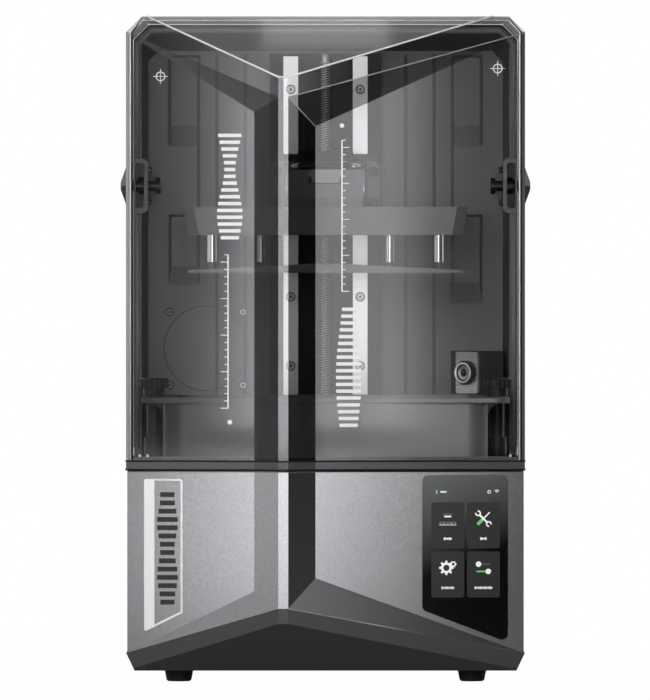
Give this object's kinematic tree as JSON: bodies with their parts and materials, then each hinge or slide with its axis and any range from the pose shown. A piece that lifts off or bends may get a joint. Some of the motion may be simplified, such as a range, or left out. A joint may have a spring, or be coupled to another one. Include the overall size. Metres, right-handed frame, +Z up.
{
  "type": "resin printer",
  "caption": "Desktop resin printer with a faceted casing, smoky flip-up lid, lift-out vat, build platform on a screw-driven vertical axis and a front touch screen.",
  "frame": {"origin": "middle of the footprint on the surface the feet stand on", "axes": "+Z up, +Y to the back, +X to the right seen from the front"},
  "size_m": [0.345, 0.33, 0.548],
  "materials": {
    "casing_silver": "fine metallic sparkle",
    "skirt_dark": "fine moulded grain",
    "foot_rubber": "matt",
    "deck_dark": "fine moulded grain",
    "exposure_glass": "gloss",
    "screen_glass": "gloss",
    "lid_smoke": "clear smoky, polished",
    "liner_grey": "fine moulded grain",
    "cap_dark": "satin",
    "badge_pale": "satin print",
    "rail_steel": "ground",
    "dark_steel": "black oxide",
    "pillar_chrome": "polished",
    "platform_alloy": "grey anodised",
    "plate_alloy": "lasered grey",
    "arm_alloy": "dark anodised, bead blasted",
    "column_alloy": "black anodised",
    "vat_alloy": "dark anodised",
    "film_clear": "clear film",
    "knob_black": "satin",
    "nut_brass": "machined",
    "camera_silver": "bead blasted",
    "camera_dark": "satin",
    "board_green": "solder mask",
    "inner_alloy": "mill finish",
    "fan_black": "moulded"
  },
  "bodies": {
    "base": {"base_housing": "casing_silver", "floor_pan": "skirt_dark", "foot_front_left": "foot_rubber", "foot_front_right": "foot_rubber", "foot_rear_left": "foot_rubber", "foot_rear_right": "foot_rubber", "touch_screen": "screen_glass", "display_module": "board_green", "badge_plate": "badge_pale", "deck_plate": "deck_dark", "lcd_panel": "exposure_glass", "hinge_bracket_left": "cap_dark", "hinge_bracket_right": "cap_dark", "hinge_pin_left": "dark_steel", "hinge_pin_right": "dark_steel", "rear_liner": "liner_grey", "rear_cover": "skirt_dark", "filter_cover": "liner_grey", "z_column": "column_alloy", "rail_left": "rail_steel", "rail_right": "rail_steel", "screw_bearings": "dark_steel", "vat_posts": "knob_black", "camera_mount": "camera_dark", "camera_face": "camera_silver", "camera_lens": "camera_dark", "light_box": "inner_alloy", "led_board": "inner_alloy", "led_heatsink": "inner_alloy", "fan_frame": "fan_black", "z_motor": "dark_steel", "motor_mount": "inner_alloy", "main_board": "board_green", "power_inlet": "fan_black", "switch_bezel": "fan_black", "usb_port": "rail_steel"},
    "lid": {"lid_shell": "lid_smoke", "lid_rim": "cap_dark", "hinge_cap_left": "cap_dark", "hinge_cap_right": "cap_dark"},
    "carriage": {"carriage_plate": "arm_alloy", "rail_block_left": "dark_steel", "rail_block_right": "dark_steel", "screw_nut": "nut_brass", "z_arm": "arm_alloy", "lever_pin": "rail_steel"},
    "screw": {"lead_screw": "rail_steel", "screw_coupler": "inner_alloy"},
    "lever": {"arm_lever": "arm_alloy"},
    "platform": {"platform_block": "platform_alloy"},
    "plate": {"build_plate": "plate_alloy", "platform_pillars": "pillar_chrome"},
    "vat": {"vat_body": "vat_alloy", "film_frame": "vat_alloy", "vat_film": "film_clear"},
    "knob_left": {"vat_knob_left": "knob_black"},
    "knob_right": {"vat_knob_right": "knob_black"},
    "switch": {"power_switch": "fan_black"},
    "fan": {"fan_rotor": "fan_black"}
  },
  "joints": [
    {"name": "lid_hinge", "type": "hinge", "parent": "base", "child": "lid", "pos_m": [0, 0.06, 0.41], "axis": [-1, 0, 0], "range_deg": [0, 100]},
    {"name": "z_slide", "type": "slide", "parent": "base", "child": "carriage", "axis": [0, 0, 1], "range_m": [-0.1525, 0.06]},
    {"name": "z_screw", "type": "hinge", "parent": "base", "child": "screw", "pos_m": [0, 0.0815, 0.3], "axis": [0, 0, 1], "range_deg": [-13800, 5900]},
    {"name": "lever_swing", "type": "hinge", "parent": "carriage", "child": "lever", "pos_m": [0, -0.034, 0.4195], "axis": [-1, 0, 0], "range_deg": [0, 90]},
    {"name": "platform_release", "type": "slide", "parent": "carriage", "child": "platform", "axis": [0, -1, 0], "range_m": [0, 0.045]},
    {"name": "plate_float", "type": "slide", "parent": "platform", "child": "plate", "axis": [0, 0, 1], "range_m": [0, 0.002], "stiffness_N_per_m": 8000, "springref_m": -0.002},
    {"name": "vat_lift", "type": "slide", "parent": "base", "child": "vat", "axis": [0, 0, 1], "range_m": [0, 0.06]},
    {"name": "knob_left_turn", "type": "hinge", "parent": "vat", "child": "knob_left", "pos_m": [-0.143, -0.022, 0.24], "axis": [0, 0, 1], "continuous": true},
    {"name": "knob_right_turn", "type": "hinge", "parent": "vat", "child": "knob_right", "pos_m": [0.143, -0.022, 0.24], "axis": [0, 0, 1], "continuous": true},
    {"name": "power_rocker", "type": "hinge", "parent": "base", "child": "switch", "pos_m": [0.005, 0.161, 0.046], "axis": [0, 0, 1], "range_deg": [0, 12]},
    {"name": "fan_spin", "type": "hinge", "parent": "base", "child": "fan", "pos_m": [0, -0.022, 0.05], "axis": [0, 0, 1], "continuous": true}
  ],
  "couplings": [
    {"joint": "z_screw", "follows": "z_slide", "rad_per_m": 1570.8}
  ]
}
